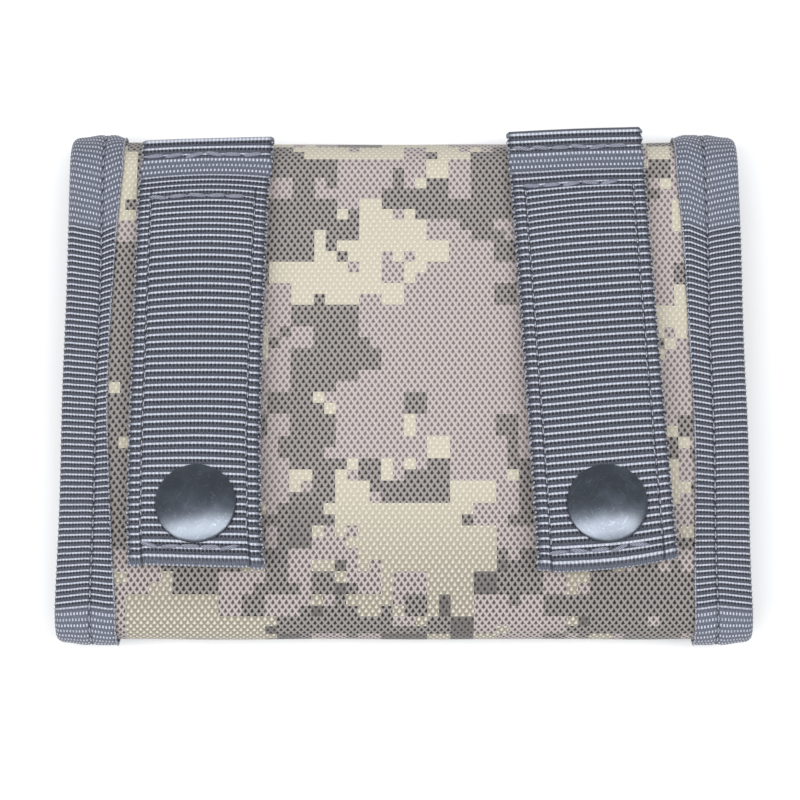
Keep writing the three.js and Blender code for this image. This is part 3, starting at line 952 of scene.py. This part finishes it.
class Strap:
    """One carry strap in its own frame: across, u from the hinge line to the free end, and w upwards."""

    def __init__(self, side, seed):
        self.side, self.seed, self.lie = side, seed, LIES[side]
        self.body = f"strap_{side}"
        hinge = JOINTS[f"strap_{side}_hinge"]
        self.hinge = joint_place(f"strap_{side}_hinge")
        axis = np.array(hinge["axis"])
        self.across = -axis / np.linalg.norm(axis)
        self.down = np.array([self.across[1], -self.across[0], 0])
        low, high = box_mm(f"strap_{side}_webbing")
        turned = abs(self.across[1])
        width = (high[0] - low[0] - (high[1] - low[1]) * turned) / (self.across[0] - turned**2)
        more_anchor, more_length, more_width = self.lie["extra"]
        self.length = self.hinge[1] - low[1] - width / 2 * turned + more_length
        sewn_end = box_mm(f"strap_{side}_anchor")[1][1]
        self.anchor = sewn_end - self.hinge[1] - width / 2 * turned + more_anchor
        self.half = (width + more_width) / 2
        stud_low, stud_high = box_mm(f"snap_{side}_stud")
        offset = (stud_low + stud_high) / 2 - self.hinge
        self.snap_across, self.snap_reach = offset @ self.across, offset @ self.down
        self.end = self.length - STRAP_SPACING / 2 - STRAP_THICKNESS / 2
        self.rows = self.lie["rows"]
        self.line = self.path()

    def world(self, across, u, w):
        """Points in the wallet's frame, from the strap's own."""
        across, u, w = np.broadcast_arrays(across, u, w)
        waist = np.interp(u, LIE_STATIONS, self.lie["waist"])
        across = across * (1 - waist / (2 * self.half)) + np.interp(u, LIE_STATIONS, self.lie["sway"])
        flat = self.hinge + across[..., None] * self.across + u[..., None] * self.down
        return flat + w[..., None] * UP

    def rise(self, u):
        return np.maximum(u, 0) * math.tan(STRAP_TILT)

    def upper(self, u):
        """Middle of the upper layer: sewn down beyond the hinge, then climbing to the doubled part."""
        climb = smooth_step(u, self.rows[0] + 0.7, self.rows[1] + 0.3)
        return ANCHOR_LEVEL + (UPPER_LEVEL - ANCHOR_LEVEL) * climb + self.rise(u) - 0.22 * self.pinch(u)

    def pinch(self, u):
        """Near 1 where a row of stitches pulls the webbing down."""
        return sum(np.exp(-(((u - row) / 0.8) ** 2)) for row in self.rows)

    def swell(self, across, u):
        """The doubled part is plumper in the middle than at its sewn sides."""
        lengthwise = window(u, self.rows[1], self.rows[1] + 8, self.end - 9, self.end)
        from_snap = np.hypot(across - self.snap_across, u - self.snap_reach)
        pressed = smooth_step(from_snap, 5, 11)
        return 0.4 * (1 - (across / self.half) ** 2) * lengthwise * pressed

    def shift(self, across, u):
        """How far a row moves along the strap at each point across it."""
        bow = np.interp(u, LIE_STATIONS, self.lie["bow"]) * (1 - (across / self.half) ** 2)
        slope = np.interp(u, LIE_STATIONS, self.lie["slope"]) * across
        left, right = self.lie["ends"]
        beyond = smooth_step(np.abs(across), self.half - SIDE_STITCH - 0.2, self.half - SIDE_STITCH + 0.5)
        doubled = smooth_step(u, self.rows[1] - 1, self.rows[1] + 1)
        return np.where(across < 0, left, right) * beyond * doubled - bow - slope

    def path(self):
        """The webbing's middle line as (u, w), from the hidden end of the sewn-down part onwards."""
        below = LOWER_LEVEL - 0.72
        radius = (ANCHOR_LEVEL - below) / 2
        turn = -self.anchor + radius + STRAP_THICKNESS / 2
        line = [(u, below) for u in np.linspace(-0.6, turn, 8)]
        for angle in np.linspace(0, math.pi, 9)[1:-1]:
            line.append((turn - radius * math.sin(angle), below + radius * (1 - math.cos(angle))))
        line += [(u, self.upper(u)) for u in np.linspace(turn, self.end, 260)]
        for angle in np.linspace(0, math.pi, 11)[1:-1]:
            u = self.end + STRAP_SPACING / 2 * math.sin(angle)
            line.append((u, LOWER_LEVEL + STRAP_SPACING / 2 * (1 + math.cos(angle)) + self.rise(self.end)))
        line += [(u, LOWER_LEVEL + self.rise(u)) for u in np.linspace(self.end, self.rows[1] + 0.7, 60)]
        return np.array(line)

    def on_top(self, across, u, height=0.0):
        """Points on the upper face, that far above the webbing."""
        w = self.upper(u) + self.swell(across, u) + STRAP_THICKNESS / 2 + height
        return self.world(across, u + self.shift(across, u), w)

    def ribs(self, length, u):
        """Places along the webbing as its ribs count them: closer together towards the first stitches."""
        crowding = self.end - self.rows[0] + FIRST_ROW - END_RIB
        return length + END_RIB + crowding * smooth_step(-u, -20, -self.rows[0])

    def bend(self, piece):
        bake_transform(piece)


def resample(line, step):
    """Points every step along a line, with the length and the turned-left normal at each."""
    gaps = np.hypot(*np.diff(line, axis=0).T)
    total = np.concatenate([[0], np.cumsum(gaps)])
    length = np.arange(0, total[-1], step)
    point = np.stack([np.interp(length, total, line[:, i]) for i in (0, 1)], -1)
    tangent = np.gradient(point, axis=0)
    tangent /= np.linalg.norm(tangent, axis=1)[:, None]
    return length, point, np.stack([-tangent[:, 1], tangent[:, 0]], -1)


def strap_webbing(strap):
    pitch = PITCH["strap_webbing"]
    length, middle, normal = resample(strap.line, pitch / 6)
    v = strap.ribs(length - length[np.argmax(middle[:, 0] > strap.end)], middle[:, 0])
    loose = looseness(v, STRAP_LOOSE)
    thick, half = STRAP_THICKNESS / 2, strap.half
    angle = np.linspace(0, math.pi, 5)[1:-1]
    across = np.linspace(-half + thick, half - thick, COLUMNS)
    right = half - thick + thick * np.sin(angle)
    ring = np.concatenate([across, right, across[::-1], -right])
    side = np.concatenate([np.ones(COLUMNS), np.cos(angle), -np.ones(COLUMNS), -np.cos(angle)])
    edge = np.concatenate([np.zeros(COLUMNS), np.ones(3), np.zeros(COLUMNS), -np.ones(3)])
    groove = np.exp(-(((np.abs(ring) - (half - SIDE_STITCH)) / GROOVE_WIDTH) ** 2))
    points, uvs = [], []
    for s, (u, w), (nu, nw), slack in zip(v, middle, normal, loose):
        above = smooth_step(w - strap.rise(u), LOWER_LEVEL, ANCHOR_LEVEL)
        relief = rib_height(s, pitch, 0.2 * (1 - 0.5 * slack)) - 0.22 * groove * float(u > strap.rows[1])
        uneven = 0.12 * ripple(ring, s, (19, 33), strap.seed)
        at_u = u + strap.shift(ring, u) + nu * side * (thick + relief) + uneven
        at_w = w + nw * side * (thick + relief) + strap.swell(ring, u) * above
        points.append(strap.world(ring + 0.17 * edge * math.cos(s * TAU / pitch), at_u, at_w))
        uvs.append(np.stack([half - np.abs(ring), np.full(len(ring), s)], -1))
    name = f"strap_webbing_{strap.side}"
    piece = tube_piece(name, np.array(points), np.array(uvs), MATERIALS["strap_webbing"])
    piece.data.flip_normals()
    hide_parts(f"strap_{strap.side}_webbing", f"strap_{strap.side}_anchor")
    strap.bend(piece)


def strap_stitches(strap):
    chance = np.random.default_rng(strap.seed)
    rows = []
    for row, inset in zip(strap.rows, ROW_INSETS):
        reach = strap.half - inset
        for across in np.arange(-reach + 1.8, reach - 1.2, THICK_STITCH[0]):
            across = across + chance.uniform(-0.15, 0.15)
            here = strap.on_top(across, row + chance.uniform(-0.12, 0.12), 0.28)
            ahead = strap.on_top(across + 0.5, row + chance.uniform(-0.05, 0.05), 0.28)
            rows.append((here, direction(here, ahead), UP))
    thick = stitches(f"strap_stitches_{strap.side}", rows, THICK_STITCH, "thick_thread")
    seams = []
    for sign in (-1, 1):
        for u in np.arange(strap.rows[1] + 1.2, SIDE_SEAM_END, 1.9):
            across = sign * (strap.half - SIDE_STITCH) + chance.uniform(-0.12, 0.12)
            here = strap.on_top(across, u, 0.1)
            ahead = strap.on_top(across + chance.uniform(-0.1, 0.1), u + 0.8, 0.1)
            seams.append((here, direction(here, ahead), UP))
    thin = stitches(f"strap_side_stitches_{strap.side}", seams, SEAM_STITCH)
    for piece in (thick, thin):
        strap.bend(piece)


# ---- Snaps ----


def lathe(name, profile, origin, axis, steps=96):
    """A turned piece: profile is (radius, height) from the middle outwards or back to it."""
    axis = np.array(axis) / np.linalg.norm(axis)
    first = np.cross([0, 1.0, 0], axis)
    first /= np.linalg.norm(first)
    second = np.cross(axis, first)
    angle = np.linspace(0, TAU, steps, endpoint=False)
    spokes = np.cos(angle)[:, None] * first + np.sin(angle)[:, None] * second
    profile = np.array(profile, float)
    rings = origin + profile[:, 0, None, None] * spokes + profile[:, 1, None, None] * axis
    around = np.broadcast_to(angle, (len(profile), steps))
    outwards = np.broadcast_to(profile[:, 0, None], (len(profile), steps))
    piece = tube_piece(name, rings, np.stack([around, outwards], -1), MATERIALS["snap_metal"])
    return piece


def dome(radius, edge, top, count=22):
    """Profile of a shallow dome from its edge height up to the middle."""
    rise = top - edge
    sphere = (radius**2 + rise**2) / (2 * rise)
    reach = np.linspace(radius, 0.02, count)
    return [(r, top - sphere + math.sqrt(sphere**2 - r**2)) for r in reach]


def rounded(centre, radius, start, end, count=6):
    """Profile of a rounded corner, between two angles in degrees."""
    angles = np.radians(np.linspace(start, end, count))
    return [(centre[0] + radius * math.cos(a), centre[1] + radius * math.sin(a)) for a in angles]


POST = 3.3  # how far the cap's post reaches down through both layers


def snap_piece(name, profile, origin, axis, body, node):
    piece = lathe(name, profile, origin, axis)
    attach(piece, body)
    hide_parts(node)


def snap_pieces(strap):
    """The cap and socket on the strap, and the stud and rivet below them on the back panel."""
    side = strap.side
    along_strap = math.cos(STRAP_TILT) * strap.down + math.sin(STRAP_TILT) * UP
    out = math.cos(STRAP_TILT) * UP - math.sin(STRAP_TILT) * strap.down
    on_axis = strap.hinge + strap.snap_across * strap.across + strap.snap_reach * along_strap
    seat = on_axis + (UPPER_LEVEL + STRAP_THICKNESS / 2 + 0.1) * out
    under = on_axis + (LOWER_LEVEL - STRAP_THICKNESS / 2 - 0.1) * out
    rim = rounded((7.05, 0.45), 0.45, -90, 40, 9)
    cap = [(0.02, -POST), (1.9, -POST), (1.9, 0), *rim, *dome(7.34, 0.78, 2.2)]
    snap_piece(f"snap_cap_{side}", cap, seat, out, strap.body, f"strap_{side}_cap")
    bore = [(2.1, -0.5), *rounded((3.35, -0.6), 0.1, 90, 0, 4), (3.45, -2.0), (3.6, -2.1)]
    outside = rounded((5.85, -1.7), 0.4, -90, 0) + rounded((5.95, -0.3), 0.3, 0, 90)
    socket = [*bore, *outside, (2.1, 0), (2.1, -0.5)]
    snap_piece(f"snap_socket_{side}", socket, under, out, strap.body, f"strap_{side}_socket")
    low, high = box_mm(f"snap_{side}_stud")
    base = (low + high) / 2
    base[2] = low[2]
    neck = [*rounded((5.5, 0.25), 0.25, -90, 90, 8), (3.2, 0.7), (2.65, 0.85), (2.65, 1.3)]
    head = [*rounded((2.75, 2.05), 0.38, -40, 80, 8), (1.5, 2.75), (1.45, 0), (5.4, 0)]
    snap_piece(f"snap_stud_{side}", neck + head, base, UP, "back", f"snap_{side}_stud")
    low, high = box_mm(f"snap_{side}_rivet")
    base[2] = low[2]
    height = high[2] - low[2]
    flange = [(0.02, 0), *rounded((5.75, 0.25), 0.25, -90, 90, 8)]
    shank = [(1.15, 0.5), (1.15, height), (0.02, height)]
    snap_piece(f"snap_rivet_{side}", flange + shank, base, UP, "back", f"snap_{side}_rivet")


for strap in (Strap("left", SEED + 5), Strap("right", SEED + 6)):
    strap_webbing(strap)
    strap_stitches(strap)
    snap_pieces(strap)
    stiffener = bpy.data.objects[f"strap_{strap.side}_stiffener"]
    stiffener.material_slots[0].material = MATERIALS["stiffener"]


# ---- Pockets and fastening inside ----


HEM = 4.0  # width of a pocket's turned-over edge
WINDOW_BORDER = 6


def flat_piece(name, node, body, slot, outward, step=1.5, hem=None, opening=None, relief=None):
    """A flat layer as big as its CAD node. outward is +1 when the face that shows looks up."""
    low, high = box_mm(node)
    x = np.linspace(low[0], high[0], int((high[0] - low[0]) / step) + 2)
    y = np.linspace(low[1], high[1], int((high[1] - low[1]) / step) + 2)
    if opening is not None:
        x = np.unique(np.concatenate([x, opening[0]]))
        y = np.unique(np.concatenate([y, opening[1]]))
    grid_y, grid_x = np.meshgrid(y, x, indexing="ij")
    face = high[2] if outward > 0 else low[2]
    lift = 0 * grid_x
    if hem is not None:
        lift = lift + 0.12 * smooth_step(hem - np.abs(grid_y - high[1]), 0, 0.5)
    if relief is not None:
        lift = lift + relief(grid_x, grid_y)
    points = np.stack([grid_x, grid_y, face + outward * lift], -1)
    if outward < 0:
        points, grid_x, grid_y = points[:, ::-1], grid_x[:, ::-1], grid_y[:, ::-1]
    keep = None
    if opening is not None:
        inside = True
        for grid, (start, end) in zip((grid_x, grid_y), opening):
            middle = (grid[1:, 1:] + grid[:-1, :-1]) / 2
            inside = inside & (middle > start) & (middle < end)
        keep = ~inside
    uv = np.stack([grid_x, grid_y], -1)
    piece = grid_piece(name, points, uv, MATERIALS[slot], high[2] - low[2], keep)
    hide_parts(node)
    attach(piece, body)
    return piece, (high[0] - low[0], high[1] - low[1])


def declare_flat(piece, size, area=None):
    size[0] * MM
    size[1] * MM


def loops(x, y):
    return 0.18 * ripple(x, y, (0.9, 1.4), SEED + 8)


def hooks(x, y):
    return 0.2 * np.cos(x * TAU / 1.6) * np.cos(y * TAU / 1.6)


for number in (1, 2, 3):
    slot_name = f"card_slot_sheet_{number}"
    declare_flat(*flat_piece(slot_name, f"card_slot_{number}", "back", "lining_cloth", -1, hem=HEM))
declare_flat(*flat_piece("coin_pocket_sheet", "coin_pocket", "inner_flap", "lining_cloth", 1, hem=HEM))
film_low, film_high = box_mm("id_window")
opening = [(film_low[i] + WINDOW_BORDER, film_high[i] - WINDOW_BORDER) for i in (0, 1)]
border, size = flat_piece("id_window_frame", "id_frame", "outer_flap", "lining_cloth", 1, opening=opening)
opening_area = (opening[0][1] - opening[0][0]) * (opening[1][1] - opening[1][0])
declare_flat(border, size, (size[0] * size[1] - opening_area) * MM**2)
declare_flat(*flat_piece("id_window_film", "id_window", "outer_flap", "clear_vinyl", 1))
for node, body, outward, relief in (
    ("closure_hook_tape", "outer_flap", 1, hooks),
    ("closure_loop_tape", "inner_flap", -1, loops),
):
    strip = flat_piece(f"{node}_strip", node, body, "hook_and_loop", outward, step=0.4, relief=relief)
    declare_flat(*strip)
for body in ("back", "outer_flap", "inner_flap"):
    core, _ = flat_piece(f"{body}_padding", f"{body}_core", body, "foam", 1, step=3.0)
    rounding = core.modifiers.new("rounding", "BEVEL")
    rounding.width = 0.3 * MM
    rounding.segments = 2


# ---- Camera, light and floor ----

CAMERA_ELEVATION = math.radians(75)
CAMERA_DISTANCE = 519
CAMERA_AIM = np.array([-0.78, -0.34, -0.09])
CAMERA_LENS = 119.5


def make_camera():
    data = bpy.data.cameras.new("camera")
    data.lens = CAMERA_LENS
    data.sensor_width = 36
    data.clip_start = 0.01
    camera = bpy.data.objects.new("camera", data)
    back = np.array([0, -math.cos(CAMERA_ELEVATION), math.sin(CAMERA_ELEVATION)])
    camera.location = (CAMERA_AIM + CAMERA_DISTANCE * back) * MM
    camera.rotation_euler = (math.pi / 2 - CAMERA_ELEVATION, 0, 0)
    bpy.context.scene.camera = put_in_scene(camera)


def area_light(name, tilt, turn, distance, size, power):
    """A soft light aimed at the wallet, tilted from overhead towards -Y and turned about Z."""
    data = bpy.data.lights.new(name, "AREA")
    data.shape = "RECTANGLE"
    data.size = size[0]
    data.size_y = size[1]
    data.energy = power
    light = bpy.data.objects.new(name, data)
    tilt, turn = math.radians(tilt), math.radians(turn)
    light.rotation_euler = (tilt, 0, turn)
    light.location = (
        distance * math.sin(tilt) * math.sin(turn),
        -distance * math.sin(tilt) * math.cos(turn),
        distance * math.cos(tilt),
    )
    put_in_scene(light)


def make_stage():
    mesh = bpy.data.meshes.new("floor")
    mesh.from_pydata([(-3, -3, 0), (3, -3, 0), (3, 3, 0), (-3, 3, 0)], [], [(0, 1, 2, 3)])
    floor = put_in_scene(bpy.data.objects.new("floor", mesh))
    floor.location.z = -0.00005
    shader = Shader("floor", roughness=0.9)
    grain = shader.noise(shader.object_place(), 30.0, 3.0)
    pale = shader.mix(grain, (0.93, 0.93, 0.93, 1), (0.95, 0.95, 0.95, 1))
    shader.set(Base_Color=pale, Specular_IOR_Level=0.0)
    mesh.materials.append(shader.material)

    world = bpy.data.worlds.new("studio")
    world.use_nodes = True
    background = world.node_tree.nodes["Background"]
    background.inputs["Color"].default_value = (0.93, 0.96, 1.0, 1)
    background.inputs["Strength"].default_value = 0.5
    bpy.context.scene.world = world
    bpy.context.scene.view_settings.view_transform = "Standard"
    area_light("key", 13, 8, 1.4, (2.1, 0.5), 22)
    area_light("fill", 50, -60, 1.6, (0.8, 0.8), 4)


make_camera()
make_stage()
